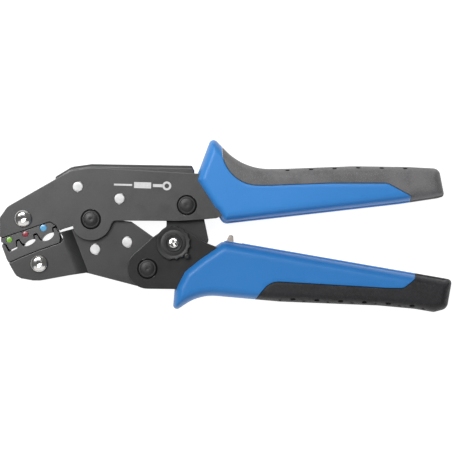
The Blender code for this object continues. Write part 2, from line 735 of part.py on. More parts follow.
def build_frame():
    holes = [(MAIN_PIVOT, PIN_HOLE), (LINK_PIVOT, PIN_HOLE), (UPPER_SCREW, SCREW_HOLE),
             (FRAME_TANG_RIVET, RIVET_HOLE), *((centre, RIVET_HOLE) for centre in FRAME_RIVETS)]
    both_sides("frame_plate", frame_outline(), FRAME_INNER, FRAME_OUTER, "frame", "black_steel", holes)
    spine()
    for i, centre in enumerate(FRAME_RIVETS, 1):
        rivet(f"frame_rivet_{i}", centre, "frame", FRAME_OUTER + 0.15)
    pin("main_pivot_pin", MAIN_PIVOT, "frame")
    pin("link_pin", LINK_PIVOT, "frame")
    washer("link_washer", LINK_PIVOT, PIN_HOLE, 6.8, "frame")
    x, y = FRAME_TANG_RIVET
    block = rounded([(x - 8, y - 3.6, 1), (x + 8, y - 3.0, 1), (x + 8, y + 4, 1), (x - 8, y + 4, 1)])
    spacer = prism(block, -JAW_OUTER, JAW_OUTER, [(FRAME_TANG_RIVET, RIVET_HOLE)])
    add("frame_tang_spacer", spacer, "frame", "bare_steel")
    rivet("frame_tang_rivet", FRAME_TANG_RIVET, "frame", FRAME_OUTER)
    rooms = [(grown(frame_outline(), DIE_HEAD_GAP), DIE_HALF)]
    upper_die = die("upper_die", upper_die_outline(), UPPER_SCREW, rooms, "frame")
    for i, notch in enumerate(upper_die_notches(), 1):
        cut(upper_die, f"upper_die_notch_{i}", prism(notch, DIE_NOTCH, DIE_HEAD + 1), "frame")
    for name, centre, radius in DOTS:
        recess = prism(circle(centre, radius + 0.12, 16), DIE_HEAD - 0.7, DIE_HEAD + 1)
        cut(upper_die, name + "_recess", recess, "frame")
        low = DIE_HEAD - 0.55
        disc = [(0, low), (radius, low), (radius, DIE_HEAD), (0, DIE_HEAD + 0.15)]
        add(name, turned(disc, centre, 16), "frame", name[4:] + "_mark")
    die_screw("upper_die", UPPER_SCREW, "frame")
    grip("upper_grip", upper_grip_outline(), upper_split(), frame_outline(), "frame")


def build_jaw():
    holes = [(MAIN_PIVOT, PIN_HOLE), (JAW_HANDLE_PIVOT, PIN_HOLE), (LOWER_SCREW, SCREW_HOLE),
             *((centre, RIVET_HOLE) for centre in JAW_RIVETS)]
    for side, low in (("front", JAW_INNER), ("rear", -JAW_OUTER)):
        plate = joggled(prism(jaw_outline(), low, low + PLATE, holes))
        add("jaw_plate_" + side, plate, "lower_jaw", "black_steel")
    (ax, ay), (bx, by) = JAW_RIVETS
    lean = degrees(atan2(by - ay, bx - ax))
    bar = arc((ax, ay), 4.6, lean + 90, lean + 270, 10) + arc((bx, by), 4.6, lean - 90, lean + 90, 10)
    half = JAW_INNER - GAP
    spacer = prism(bar, -half, half, [(centre, RIVET_HOLE) for centre in JAW_RIVETS])
    add("jaw_spacer", spacer, "lower_jaw", "bare_steel")
    for i, centre in enumerate(JAW_RIVETS, 1):
        rivet(f"jaw_rivet_{i}", centre, "lower_jaw", JAW_OUTER + 0.15)
    rooms = [(lower_die_tang(), DIE_HALF), (grown(frame_outline(), DIE_SWING_GAP), DIE_HALF),
             (lower_die_relief(), DIE_WEB)]
    lower_die = die("lower_die", lower_die_outline(), LOWER_SCREW, rooms, "lower_jaw")
    top = DIE_NOTCH + DIE_HEAD_GAP
    for i, notch in enumerate(lower_die_notches(), 1):
        cut(lower_die, f"lower_die_notch_{i}", prism(notch, -DIE_HEAD - 1, top), "lower_jaw")
    die_screw("lower_die", LOWER_SCREW, "lower_jaw")


def build_handle():
    holes = [(JAW_HANDLE_PIVOT, PIN_HOLE), (WHEEL_PIVOT, JOURNAL_HOLE), (PAWL_PIVOT, PAWL_PIN + 0.2),
             (SPRING_POST, POST + 0.2), (HANDLE_TANG_RIVET, RIVET_HOLE)]
    both_sides("handle_plate", handle_outline(), FRAME_INNER, FRAME_OUTER, "lower_handle", "dark_steel",
               holes, [(LOCK_SCREW, LOCK_SHANK + 0.15)])
    pin("jaw_handle_pin", JAW_HANDLE_PIVOT, "lower_handle")
    for name, centre, radius in (("pawl_pin", PAWL_PIVOT, PAWL_PIN), ("spring_post", SPRING_POST, POST)):
        profile = [(0, -FRAME_OUTER), (radius, -FRAME_OUTER), (radius, FRAME_OUTER), (0, FRAME_OUTER)]
        add(name, turned(profile, centre, 16), "lower_handle", "bare_steel")
    x, y = HANDLE_TANG_RIVET
    block = rounded([(x - 8, y - 4, 1), (x + 8, y - 4.4, 1), (x + 8, y + 2.4, 1), (x - 8, y + 3.6, 1)])
    spacer = prism(block, -JAW_OUTER, JAW_OUTER, [(HANDLE_TANG_RIVET, RIVET_HOLE)])
    add("handle_tang_spacer", spacer, "lower_handle", "bare_steel")
    rivet("handle_tang_rivet", HANDLE_TANG_RIVET, "lower_handle", FRAME_OUTER)
    washer("wheel_washer", WHEEL_PIVOT, 4.8, 7.0, "lower_handle")
    head = WHEEL_HIGH + 0.1
    profile = [(0, FRAME_INNER + 0.2), (LOCK_SHANK, FRAME_INNER + 0.2), (LOCK_SHANK, head), (1.5, head),
               (1.5, head + 0.3), (1.2, head + 0.7), (0.6, head + 0.9), (0, head + 0.95)]
    add("lock_screw", turned(profile, LOCK_SCREW, 16), "lower_handle", "dark_steel")
    slot = ([(64.6, -19.0), (75.2, -19.0), (75.2, -6.0), (64.6, -6.0)], -PAWL_HALF - GAP, PAWL_HALF + GAP)
    grip("lower_grip", lower_grip_outline(), lower_split(), handle_outline(), "lower_handle", [slot])


def build_link():
    slack = (WHEEL_PIVOT[0] + LINK_SLACK_OFFSET[0], WHEEL_PIVOT[1] + LINK_SLACK_OFFSET[1])
    holes = [(LINK_PIVOT, PIN_HOLE), (slack, LINK_SLACK_HOLE), (LINK_TAIL, 0.9)]
    add("toggle_link", prism(link_outline(), -LINK_HALF, LINK_HALF, holes), "toggle_link", "dark_steel")


def build_wheel():
    disc = prism(wheel_outline(), WHEEL_LOW, WHEEL_HIGH, [(WHEEL_PIVOT, 1.7)])
    add("adjusting_wheel", disc, "wheel", "dark_steel")
    low = WHEEL_HIGH + 0.1
    ring = [(3.2, low), (4.4, low), (4.4, low + 0.35), (4.1, low + 0.6), (3.4, low + 0.6), (3.2, low + 0.4)]
    add("wheel_collar", turned(ring, WHEEL_PIVOT), "wheel", "dark_steel")
    journal = JAW_OUTER + 0.15
    end = FRAME_OUTER + 0.2
    bore = 1.65
    shift = (ECCENTRICITY, 0.0)
    profile = [(0, -end), (JOURNAL - 0.3, -end), (JOURNAL, 0.3 - end), (JOURNAL, -journal),
               (ECCENTRIC, -journal, *shift), (ECCENTRIC, journal, *shift), (JOURNAL, journal),
               (JOURNAL, end), (bore, end), (bore, 2.0), (0, 2.0)]
    add("eccentric_pin", turned(profile, WHEEL_PIVOT), "wheel", "bare_steel")
    profile = [(0, 2.6), (1.5, 2.6), (1.5, low), (2.6, low), (2.6, low + 0.6), (2.2, low + 0.95),
               (0, low + 1.05)]
    screw = add("wheel_screw", turned(profile, WHEEL_PIVOT, 24), "wheel", "chrome")
    x, y = WHEEL_PIVOT
    for i, (dx, dy) in enumerate(((1.6, 0.3), (0.3, 1.6)), 1):
        bar = [(x - dx, y - dy), (x + dx, y - dy), (x + dx, y + dy), (x - dx, y + dy)]
        cut(screw, f"cross_{i}", prism(bar, low + 0.4, low + 2), "wheel")


def build_pawl():
    holes = [(PAWL_PIVOT, PAWL_PIN + 0.2), (SPRING_LUG, 0.75)]
    add("ratchet_pawl", prism(pawl_outline(), -PAWL_HALF, PAWL_HALF, holes), "pawl", "bare_steel")


def build_springs():
    """Each spring hooks through a hole at one end and round a pin at the other."""
    x, y = LINK_TAIL
    start = (41.0, 13.97)
    end = (25.5, 11.81)
    hook = arc(FRAME_RIVETS[1], RIVET + 0.75, 30, 250, 10)
    path = [(x, y, -3.0), (x, y, 0), (x, y, 2.6), (x - 1.0, y - 0.14, 3.1), (x - 3.5, y - 0.5, 2.9)]
    path += [tuple(p) for p in coil(start, end, 2.3, 9)]
    path += [(23.0, 12.2, 1.0), (20.5, 12.3, 0.2)] + [(px, py, 0) for px, py in hook]
    add("opening_spring", wire(path, 0.4), "frame", "spring_steel")
    x, y = SPRING_LUG
    hook = arc(SPRING_POST, POST + 0.6, 150, -70, 10)
    path = [(x, y, -2.2), (x, y, 0), (x, y, 1.8), (x + 0.8, y, 2.1), (x + 2.0, y, 1.9)]
    path += [tuple(p) for p in coil((65.2, y), (74.0, y), 1.5, 7)]
    path += [(75.0, y + 0.8, 0.8), (75.8, y + 1.2, 0.1)] + [(px, py, 0) for px, py in hook[1:]]
    add("pawl_spring", wire(path, 0.3), "lower_handle", "spring_steel")


def main():
    clear_scene()
    for name in FINISHES:
        make_material(name)
    make_axes()
    build_frame()
    build_jaw()
    build_handle()
    build_link()
    build_wheel()
    build_pawl()
    build_springs()


main()
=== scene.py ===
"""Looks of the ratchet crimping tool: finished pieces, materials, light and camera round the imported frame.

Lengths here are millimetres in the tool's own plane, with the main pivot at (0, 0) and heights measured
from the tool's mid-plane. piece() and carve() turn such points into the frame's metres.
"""
import json
from math import atan2, ceil, cos, degrees, pi, radians, sin, sqrt, tan

import bmesh
import bpy
import numpy as np
from mathutils import Matrix, Vector
from mathutils.geometry import delaunay_2d_cdt

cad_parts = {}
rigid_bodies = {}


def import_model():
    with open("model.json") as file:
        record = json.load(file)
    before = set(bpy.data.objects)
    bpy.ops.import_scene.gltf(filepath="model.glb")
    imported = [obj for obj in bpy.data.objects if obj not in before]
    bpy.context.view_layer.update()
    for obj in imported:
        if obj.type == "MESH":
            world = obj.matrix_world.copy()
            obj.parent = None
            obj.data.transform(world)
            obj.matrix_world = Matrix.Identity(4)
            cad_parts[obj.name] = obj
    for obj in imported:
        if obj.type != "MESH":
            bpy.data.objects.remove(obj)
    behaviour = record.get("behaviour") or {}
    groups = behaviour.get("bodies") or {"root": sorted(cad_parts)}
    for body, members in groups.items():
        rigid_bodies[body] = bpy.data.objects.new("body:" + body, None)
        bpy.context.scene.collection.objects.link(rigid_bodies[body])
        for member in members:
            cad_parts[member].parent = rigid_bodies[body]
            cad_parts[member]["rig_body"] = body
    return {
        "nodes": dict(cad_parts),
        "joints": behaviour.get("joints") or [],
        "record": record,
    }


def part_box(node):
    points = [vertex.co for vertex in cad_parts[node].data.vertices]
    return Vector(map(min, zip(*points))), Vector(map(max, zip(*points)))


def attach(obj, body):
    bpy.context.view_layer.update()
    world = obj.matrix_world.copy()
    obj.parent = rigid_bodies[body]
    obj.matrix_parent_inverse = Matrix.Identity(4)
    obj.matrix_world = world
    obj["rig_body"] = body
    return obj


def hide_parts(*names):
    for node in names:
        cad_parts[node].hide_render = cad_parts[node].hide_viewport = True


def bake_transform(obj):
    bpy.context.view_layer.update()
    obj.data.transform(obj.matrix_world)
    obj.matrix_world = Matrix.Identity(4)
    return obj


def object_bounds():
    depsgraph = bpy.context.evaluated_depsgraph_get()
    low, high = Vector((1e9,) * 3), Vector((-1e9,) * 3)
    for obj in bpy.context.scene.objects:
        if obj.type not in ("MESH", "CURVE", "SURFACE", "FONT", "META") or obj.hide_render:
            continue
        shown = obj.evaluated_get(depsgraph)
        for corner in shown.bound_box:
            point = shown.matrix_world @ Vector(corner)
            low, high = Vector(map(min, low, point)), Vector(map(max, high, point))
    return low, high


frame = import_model()
cad_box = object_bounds()

MM = 0.001
NODES = frame["nodes"]
PIVOTS = {joint["name"]: Vector(joint["pos_m"]) for joint in frame["joints"]}
ORIGIN = PIVOTS["jaw_pivot"]
BODY = {node: body for body, nodes in frame["record"]["behaviour"]["bodies"].items() for node in nodes}
SLOT = {row["node"]: row["material_slot"] for row in frame["record"]["subparts"]}


def tool(point):
    """A frame point in the tool's millimetres."""
    return (Vector(point) - ORIGIN) / MM


def middle(node):
    """The middle of a CAD node's box in the tool's plane, and its lowest and highest level."""
    low, high = (tool(corner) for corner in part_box(node))
    return ((low.x + high.x) / 2, (low.y + high.y) / 2), low.z, high.z


def pivot(joint):
    """A joint's place in the tool's plane."""
    point = tool(PIVOTS[joint])
    return (point.x, point.y)


PINS = ("main_pivot_pin", "link_pin", "jaw_handle_pin")
RIVETS = [node for node in NODES if "_rivet" in node]
HOLES = [middle(node)[0] for node in (*PINS, *RIVETS, "upper_die_screw", "lower_die_screw", "pawl_pin")]


# Materials

class Look:
    """A Principled material whose colour, roughness and bump vary with noise in object space."""

    def __init__(self, name, roughness, metallic=0.0, **sockets):
        self.material = bpy.data.materials.new(name)
        self.material.use_nodes = True
        self.tree = self.material.node_tree
        self.shader = self.tree.nodes["Principled BSDF"]
        self.shader.inputs["Roughness"].default_value = roughness
        self.shader.inputs["Metallic"].default_value = metallic
        for socket, value in sockets.items():
            self.shader.inputs[socket.replace("_", " ")].default_value = value
        self.coordinates = self.tree.nodes.new("ShaderNodeTexCoord").outputs["Object"]
        self.bumps = None

    def link(self, output, socket):
        self.tree.links.new(output, socket)

    def noise(self, size, detail=2.0, stretch=(1.0, 1.0, 1.0), turn=0.0):
        """Noise with features of about size millimetres, longer where stretch is above 1."""
        mapping = self.tree.nodes.new("ShaderNodeMapping")
        mapping.inputs["Rotation"].default_value = (0, 0, radians(turn))
        mapping.inputs["Scale"].default_value = [1 / (size * MM * s) for s in stretch]
        self.link(self.coordinates, mapping.inputs["Vector"])
        texture = self.tree.nodes.new("ShaderNodeTexNoise")
        texture.inputs["Scale"].default_value = 1.0
        texture.inputs["Detail"].default_value = detail
        self.link(mapping.outputs["Vector"], texture.inputs["Vector"])
        return texture.outputs["Fac"]

    def spread(self, value, low, high, bottom=0.35, top=0.65):
        """The noise between bottom and top stretched to run from low to high."""
        node = self.tree.nodes.new("ShaderNodeMapRange")
        node.inputs["From Min"].default_value = bottom
        node.inputs["From Max"].default_value = top
        node.inputs["To Min"].default_value = low
        node.inputs["To Max"].default_value = high
        self.link(value, node.inputs["Value"])
        return node.outputs["Result"]

    def mix(self, factor, first, second):
        """Two colours, or outputs, mixed by a factor between 0 and 1."""
        node = self.tree.nodes.new("ShaderNodeMix")
        node.data_type = "RGBA"
        self.link(factor, node.inputs["Factor"])
        for name, value in (("A_Color", first), ("B_Color", second)):
            socket = next(s for s in node.inputs if s.identifier == name)
            if isinstance(value, tuple):
                socket.default_value = (*value, 1.0)
            else:
                self.link(value, socket)
        return next(s for s in node.outputs if s.identifier == "Result_Color")

    def colour(self, output):
        self.link(output, self.shader.inputs["Base Color"])

    def roughness(self, output):
        self.link(output, self.shader.inputs["Roughness"])

    def bump(self, height, depth, strength=1.0):
        """Adds relief of depth millimetres."""
        node = self.tree.nodes.new("ShaderNodeBump")
        node.inputs["Strength"].default_value = strength
        node.inputs["Distance"].default_value = depth * MM
        self.link(height, node.inputs["Height"])
        if self.bumps:
            self.link(self.bumps, node.inputs["Normal"])
        self.bumps = node.outputs["Normal"]
        self.link(self.bumps, self.shader.inputs["Normal"])


STEEL_TINT = (1.0, 1.0, 1.01)


def steel(name, dark, light, roughness, metallic, grain=0.012, specular=0.5):
    """Blackened plate: soft clouds, a fine speckle and faint rolling lines."""
    look = Look(name, roughness, metallic, Specular_IOR_Level=specular)
    low = tuple(dark * t for t in STEEL_TINT)
    high = tuple(light * t for t in STEEL_TINT)
    clouds = look.mix(look.spread(look.noise(17, 4), 0, 1), low, high)
    worn = tuple(1.22 * t for t in high)
    speckle = look.spread(look.noise(0.45, 3), 0, 1, 0.48, 0.8)
    look.colour(look.mix(speckle, clouds, worn))
    look.roughness(look.spread(look.noise(6, 5), roughness - 0.07, roughness + 0.08))
    look.bump(look.noise(0.35, 3), grain)
    look.bump(look.noise(0.9, 2, (14, 1, 1)), grain * 0.6)
    return look.material


def bright(name, colour, roughness, lines, depth, spread=0.06, metallic=1.0, turn=0.0):
    """Bare or plated metal with fine lines left by grinding or drawing."""
    look = Look(name, roughness, metallic)
    darker = tuple(c * 0.82 for c in colour)
    look.colour(look.mix(look.spread(look.noise(2.5, 4), 0, 1), darker, colour))
    streaks = look.noise(0.8, 4, (lines, 1, 1), turn)
    look.roughness(look.spread(streaks, roughness - spread, roughness + spread))
    look.bump(look.noise(0.25, 3, (lines, 1, 1), turn), depth)
    return look.material


def plastic(name, colour, deeper, roughness):
    """Satin moulded plastic: a hardly visible flow in the colour and a fine spark-eroded grain."""
    look = Look(name, roughness, Specular_IOR_Level=0.24, Coat_Weight=0.03, Coat_Roughness=0.15)
    look.colour(look.mix(look.spread(look.noise(26, 3, (2.5, 1, 1)), 0, 1), deeper, colour))
    look.roughness(look.spread(look.noise(1.2, 4), roughness - 0.05, roughness + 0.06))
    look.bump(look.noise(0.3, 3), 0.012)
    look.bump(look.noise(9, 2), 0.05)
    return look.material


def rubber(name, dark, light, fleck):
    """Soft rubber with a fine speckled grain."""
    look = Look(name, 0.6, Specular_IOR_Level=0.35, Sheen_Weight=0.04, Sheen_Roughness=0.4)
    cloud = look.mix(look.spread(look.noise(8, 4), 0, 1), dark, light)
    look.colour(look.mix(look.spread(look.noise(0.5, 2), 0, 1, 0.5, 0.75), cloud, fleck))
    look.roughness(look.spread(look.noise(1.5, 3), 0.55, 0.72))
    look.bump(look.noise(0.42, 2), 0.05)
    look.bump(look.noise(0.16, 2), 0.02)
    return look.material


def enamel(name, colour, deeper):
    """A drop of glossy enamel."""
    look = Look(name, 0.18, Coat_Weight=0.6, Coat_Roughness=0.08)
    look.colour(look.mix(look.spread(look.noise(0.9, 3), 0, 1), deeper, colour))
    look.bump(look.noise(0.8, 2), 0.02)
    return look.material


MATERIALS = {
    "black_steel": steel("black_oxide_plate", 0.027, 0.038, 0.4, 0.3, specular=0.7),
    "dark_steel": steel("dark_oiled_steel", 0.01, 0.015, 0.46, 0.1, specular=0.45),
    "die_steel": steel("hardened_die_steel", 0.036, 0.05, 0.38, 0.4, grain=0.006, specular=0.8),
    "bare_steel": bright("bare_steel", (0.42, 0.38, 0.34), 0.42, 6, 0.006),
    "rivet_steel": bright("ground_rivet_steel", (0.62, 0.62, 0.62), 0.55, 9, 0.01, metallic=0.4, turn=35),
    "chrome": bright("chrome_plate", (0.78, 0.77, 0.75), 0.13, 2, 0.002, 0.04),
    "spring_steel": bright("spring_wire", (0.5, 0.5, 0.52), 0.3, 5, 0.004),
    "blue_plastic": plastic("satin_blue_plastic", (0.037, 0.208, 0.55), (0.032, 0.196, 0.525), 0.36),
    "dark_rubber": rubber("dark_rubber", (0.008, 0.008, 0.009), (0.012, 0.012, 0.014), (0.03, 0.03, 0.034)),
    "green_mark": enamel("green_enamel", (0.19, 0.4, 0.045), (0.13, 0.32, 0.03)),
    "red_mark": enamel("red_enamel", (0.27, 0.04, 0.055), (0.2, 0.025, 0.04)),
    "blue_mark": enamel("blue_enamel", (0.095, 0.33, 0.57), (0.07, 0.27, 0.5)),
}
# The upper pad's rubber: a lighter copy of dark_rubber, with the light on the upper pad painted into its
# colour.
PAINTED_LIT_RUBBER = rubber("painted_light_grey_rubber", (0.1, 0.098, 0.1), (0.135, 0.132, 0.136), (0.19, 0.187, 0.19))
# The lower shell's plastic: a deeper copy of satin_blue_plastic, with the shade on the lower grip painted
# into its colour.
SHADED_BLUE_PLASTIC = plastic("painted_shade_blue_plastic", (0.025, 0.168, 0.455), (0.021, 0.158, 0.435), 0.38)
# The jaw plates' finish: a darker copy of the frame plates' black oxide, with shade painted into its colour.
SHADED_JAW_STEEL = steel("painted_shade_jaw_oxide", 0.021, 0.03, 0.42, 0.25, specular=0.6)
# The handle plates' finish: darker still than the jaw plates', with shade painted into its colour.
SHADED_HANDLE_STEEL = steel("painted_shade_handle_steel", 0.006, 0.01, 0.42, 0.08, specular=0.34)
EDGE_STEEL = bright("worn_plate_edge", (0.13, 0.13, 0.132), 0.36, 4, 0.004)
DARK_EDGE = bright("worn_dark_edge", (0.1, 0.1, 0.102), 0.36, 4, 0.004)
# Near-black rubber for the faces that the pits cut: painted shade in the pits.
PIT_SHADE_RUBBER = rubber("painted_shade_pit_rubber", (0.004, 0.004, 0.004), (0.007, 0.007, 0.007), (0.012, 0.012, 0.012))
PRINT = enamel("light_print", (0.62, 0.62, 0.62), (0.55, 0.55, 0.55))


# Plane outlines

def polar(centre, radius, angle):
    return (centre[0] + radius * cos(radians(angle)), centre[1] + radius * sin(radians(angle)))


def arc(centre, radius, start, end, steps):
    return [polar(centre, radius, start + (end - start) * i / steps) for i in range(steps + 1)]


def rounded(corners, closed=True, step=5.0):
    """The corners as points, where a corner (x, y, radius) becomes an arc."""
    points = []
    count = len(corners)
    for i, corner in enumerate(corners):
        at_end = not closed and i in (0, count - 1)
        if len(corner) == 2 or at_end:
            points.append(tuple(corner[:2]))
            continue
        here = Vector(corner[:2])
        back = (Vector(corners[i - 1][:2]) - here).normalized()
        on = (Vector(corners[(i + 1) % count][:2]) - here).normalized()
        half = back.angle(on) / 2
        centre = here + (back + on).normalized() * (corner[2] / sin(half))
        first = here + back * (corner[2] / tan(half)) - centre
        last = here + on * (corner[2] / tan(half)) - centre
        turn = atan2(first.cross(last), first.dot(last))
        steps = max(1, ceil(degrees(abs(turn)) / step))
        start = degrees(atan2(first.y, first.x))
        points += arc(centre, corner[2], start, start + degrees(turn), steps)
    return points


def divided(line, longest, closed=True):
    """The same line with its long runs split into equal lengths, as an array."""
    line = [np.array(p, float) for p in line]
    pairs = zip(line, line[1:] + line[:1]) if closed else zip(line, line[1:])
    points = []
    for a, b in pairs:
        parts = ceil(np.linalg.norm(b - a) / longest)
        points += [a + (b - a) * i / parts for i in range(parts)]
    if not closed:
        points.append(line[-1])
    return np.array(points)


def shifted(line, distance, closed=True):
    """The line moved to its left."""
    if closed:
        before = line - np.roll(line, 1, 0)
        after = np.roll(line, -1, 0) - line
    else:
        runs = np.diff(line, axis=0)
        before = np.vstack([runs[:1], runs])
        after = np.vstack([runs, runs[-1:]])
    normals = []
    for runs in (before, after):
        unit = runs / np.maximum(np.linalg.norm(runs, axis=1, keepdims=True), 1e-9)
        normals.append(np.stack([-unit[:, 1], unit[:, 0]], 1))
    normal = normals[0] + normals[1]
    normal /= np.maximum(np.linalg.norm(normal, axis=1, keepdims=True), 1e-9)
    stretch = np.maximum((normal * normals[0]).sum(1, keepdims=True), 0.5)
    return line + normal * distance / stretch


def distance(points, line, closed=True):
    """Each point's distance from the nearest run of a line."""
    ends = np.roll(line, -1, 0) if closed else line[1:]
    starts = line if closed else line[:-1]
    nearest = np.full(len(points), 1e9)
    for a, b in zip(starts, ends):
        run = b - a
        t = np.clip((points - a) @ run / max(run @ run, 1e-12), 0, 1)
        gap = np.linalg.norm(points - a - t[:, None] * run, axis=1)
        nearest = np.minimum(nearest, gap)
    return nearest


def within(points, loop):
    """Which points are inside a closed outline."""
    hit = np.zeros(len(points), bool)
    for (ax, ay), (bx, by) in zip(loop, np.roll(loop, -1, 0)):
        if ay == by:
            continue
        crosses = (ay > points[:, 1]) != (by > points[:, 1])
        hit ^= crosses & (points[:, 0] < ax + (points[:, 1] - ay) / (by - ay) * (bx - ax))
    return hit


# Pieces

def piece(name, bm, node, materials=None, smooth=40.0, replaced=None, weighted=True):
    """A finished piece from a mesh in the tool's millimetres, in the place of a CAD node."""
    bmesh.ops.scale(bm, vec=(MM, MM, MM), verts=bm.verts)
    bmesh.ops.translate(bm, vec=ORIGIN, verts=bm.verts)
    bmesh.ops.recalc_face_normals(bm, faces=bm.faces)
    mesh = bpy.data.meshes.new(name)
    bm.to_mesh(mesh)
    bm.free()
    mesh.shade_smooth()
    mesh.set_sharp_from_angle(angle=radians(smooth))
    for material in materials or [MATERIALS[SLOT[node]]]:
        mesh.materials.append(material)
    obj = bpy.data.objects.new(name, mesh)
    bpy.context.scene.collection.objects.link(obj)
    if weighted:
        modifier = obj.modifiers.new("weighted_normals", "WEIGHTED_NORMAL")
        modifier.keep_sharp = True
    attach(obj, BODY[node])
    if replaced is None:
        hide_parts(node)
    else:
        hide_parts(*replaced)
    return obj


def cad_mesh(node):
    """A CAD node's mesh in the tool's millimetres, with its flat areas as single faces."""
    bm = bmesh.new()
    bm.from_mesh(NODES[node].data)
    bmesh.ops.translate(bm, vec=-ORIGIN, verts=bm.verts)
    bmesh.ops.scale(bm, vec=(1 / MM, 1 / MM, 1 / MM), verts=bm.verts)
    bmesh.ops.remove_doubles(bm, verts=bm.verts, dist=0.002)
    bmesh.ops.dissolve_limit(bm, angle_limit=radians(0.5), verts=bm.verts, edges=bm.edges)
    return bm


def round_hole(edge):
    """Whether an edge runs round a pin, rivet or screw."""
    for centre in HOLES:
        reach = [(Vector(vert.co.xy) - Vector(centre)).length for vert in edge.verts]
        if max(reach) < 5.6 and abs(reach[0] - reach[1]) < 0.06:
            return True
    return False


SHARP_EDGE = 32.0


def eased(node, width, edge=None, main=None):
    """A CAD node with its sharp edges rounded over, but not those round its holes.

    The rounded edges may have a material of their own, and so may the rest.
    """
    bm = cad_mesh(node)
    edges = [e for e in bm.edges if len(e.link_faces) == 2 and e.calc_face_angle() > radians(SHARP_EDGE)]
    outer = [e for e in edges if not round_hole(e)]
    bmesh.ops.bevel(bm, geom=outer, offset=width, offset_type="OFFSET", segments=2, profile=0.5,
                    affect="EDGES", clamp_overlap=False, material=1 if edge else -1)
    materials = [main or MATERIALS[SLOT[node]]] + ([edge] if edge else [])
    return piece(node + "_finished", bm, node, materials)


def turned(profile, centre, sides=48):
    """A round solid from (radius, height) pairs. A radius may be a function of the angle."""
    bm = bmesh.new()
    rings = []
    for radius, height in profile:
        if radius == 0:
            rings.append([bm.verts.new((*centre, height))] * sides)
            continue
        ring = []
        for i in range(sides):
            angle = 360 * i / sides
            reach = radius(angle) if callable(radius) else radius
            ring.append(bm.verts.new((*polar(centre, reach, angle), height)))
        rings.append(ring)
    pairs = list(zip(rings, rings[1:]))
    if profile[0][0] != 0:
        pairs.append((rings[-1], rings[0]))
    for lower, upper in pairs:
        for i in range(sides):
            j = (i + 1) % sides
            bm.faces.new(dict.fromkeys((lower[i], lower[j], upper[j], upper[i])))
    return bm


def hexagon(flats, turn=0.0):
    """Radius of a hexagon by angle."""
    return lambda angle: flats / 2 / cos(radians((angle - turn + 30) % 60 - 30))


def cross(width, length, turn=0.0):
    """Radius of a cross recess by angle."""
    def reach(angle):
        longest = 0.0
        for quarter in (0, 90):
            t = radians(angle - turn + quarter)
            longest = max(longest, min(length / max(abs(cos(t)), 1e-6), width / max(abs(sin(t)), 1e-6)))
        return longest
    return reach


def tube(path, radius, sides=10):
    """A round wire along a path of points, with closed ends."""
    bm = bmesh.new()
    points = [Vector(p) for p in path]
    across = Vector((0, 0, 1))
    rings = []
    for i, point in enumerate(points):
        run = (points[min(i + 1, len(points) - 1)] - points[max(i - 1, 0)]).normalized()
        if abs(run.dot(across)) > 0.99:
            across = run.orthogonal()
        across = (across - run * run.dot(across)).normalized()
        up = run.cross(across)
        turns = [2 * pi * k / sides for k in range(sides)]
        rings.append([bm.verts.new(point + (across * cos(t) + up * sin(t)) * radius) for t in turns])
    for lower, upper in zip(rings, rings[1:]):
        for k in range(sides):
            m = (k + 1) % sides
            bm.faces.new((lower[k], lower[m], upper[m], upper[k]))
    bm.faces.new(rings[0])
    bm.faces.new(rings[-1])
    return bm


# Steel

def make_plates():
    for side in ("front", "rear"):
        eased("frame_plate_" + side, 0.22, EDGE_STEEL)
        # The jaw plates take the darker oxide with painted shade.
        eased("jaw_plate_" + side, 0.22, EDGE_STEEL, SHADED_JAW_STEEL)
        # The handle plates take the darkest steel, with painted shade.
        eased("handle_plate_" + side, 0.22, DARK_EDGE, SHADED_HANDLE_STEEL)
    eased("frame_spine", 0.3, EDGE_STEEL)
    eased("toggle_link", 0.25, DARK_EDGE)
    eased("ratchet_pawl", 0.35)
    eased("upper_die", 0.12, EDGE_STEEL)
    eased("lower_die", 0.12, EDGE_STEEL)
    for node in ("frame_tang_spacer", "handle_tang_spacer", "jaw_spacer"):
        eased(node, 0.3)
    for node in ("link_washer_front", "link_washer_rear", "wheel_washer_front", "wheel_washer_rear"):
        eased(node, 0.12)


def pin_profile(radius, low, high):
    """A riveted pin: its ends stand in a narrow ring of shade, and have a turned step and a centre mark.

    Below the ring it fills the hole, so that no light comes through.
    """
    neck = radius - 0.3
    top = [(0, high - 0.22), (0.5, high - 0.14), (0.9, high - 0.1), (neck - 1.35, high - 0.1),
           (neck - 1.2, high - 0.22), (neck - 1.05, high - 0.22), (neck - 0.9, high - 0.03),
           (neck - 0.7, high), (neck - 0.35, high - 0.05), (neck - 0.1, high - 0.2), (neck, high - 0.45),
           (neck, high - 1.5), (radius + 0.22, high - 1.8)]
    bottom = [(r, low + high - z) for r, z in top]
    return bottom + top[::-1]


def make_pins():
    for node in PINS:
        centre, low, high = middle(node)
        piece(node + "_finished", turned(pin_profile(4.8, low, high), centre, 72), node)
    for node in RIVETS:
        centre, low, high = middle(node)
        radius = 2.6
        top = [(0, high), (1.5, high - 0.01), (2.2, high - 0.05), (2.45, high - 0.12), (radius, high - 0.3)]
        profile = [(r, low + high - z) for r, z in top] + top[::-1]
        piece(node + "_finished", turned(profile, centre), node)
    for node in ("pawl_pin", "spring_post"):
        eased(node, 0.2)


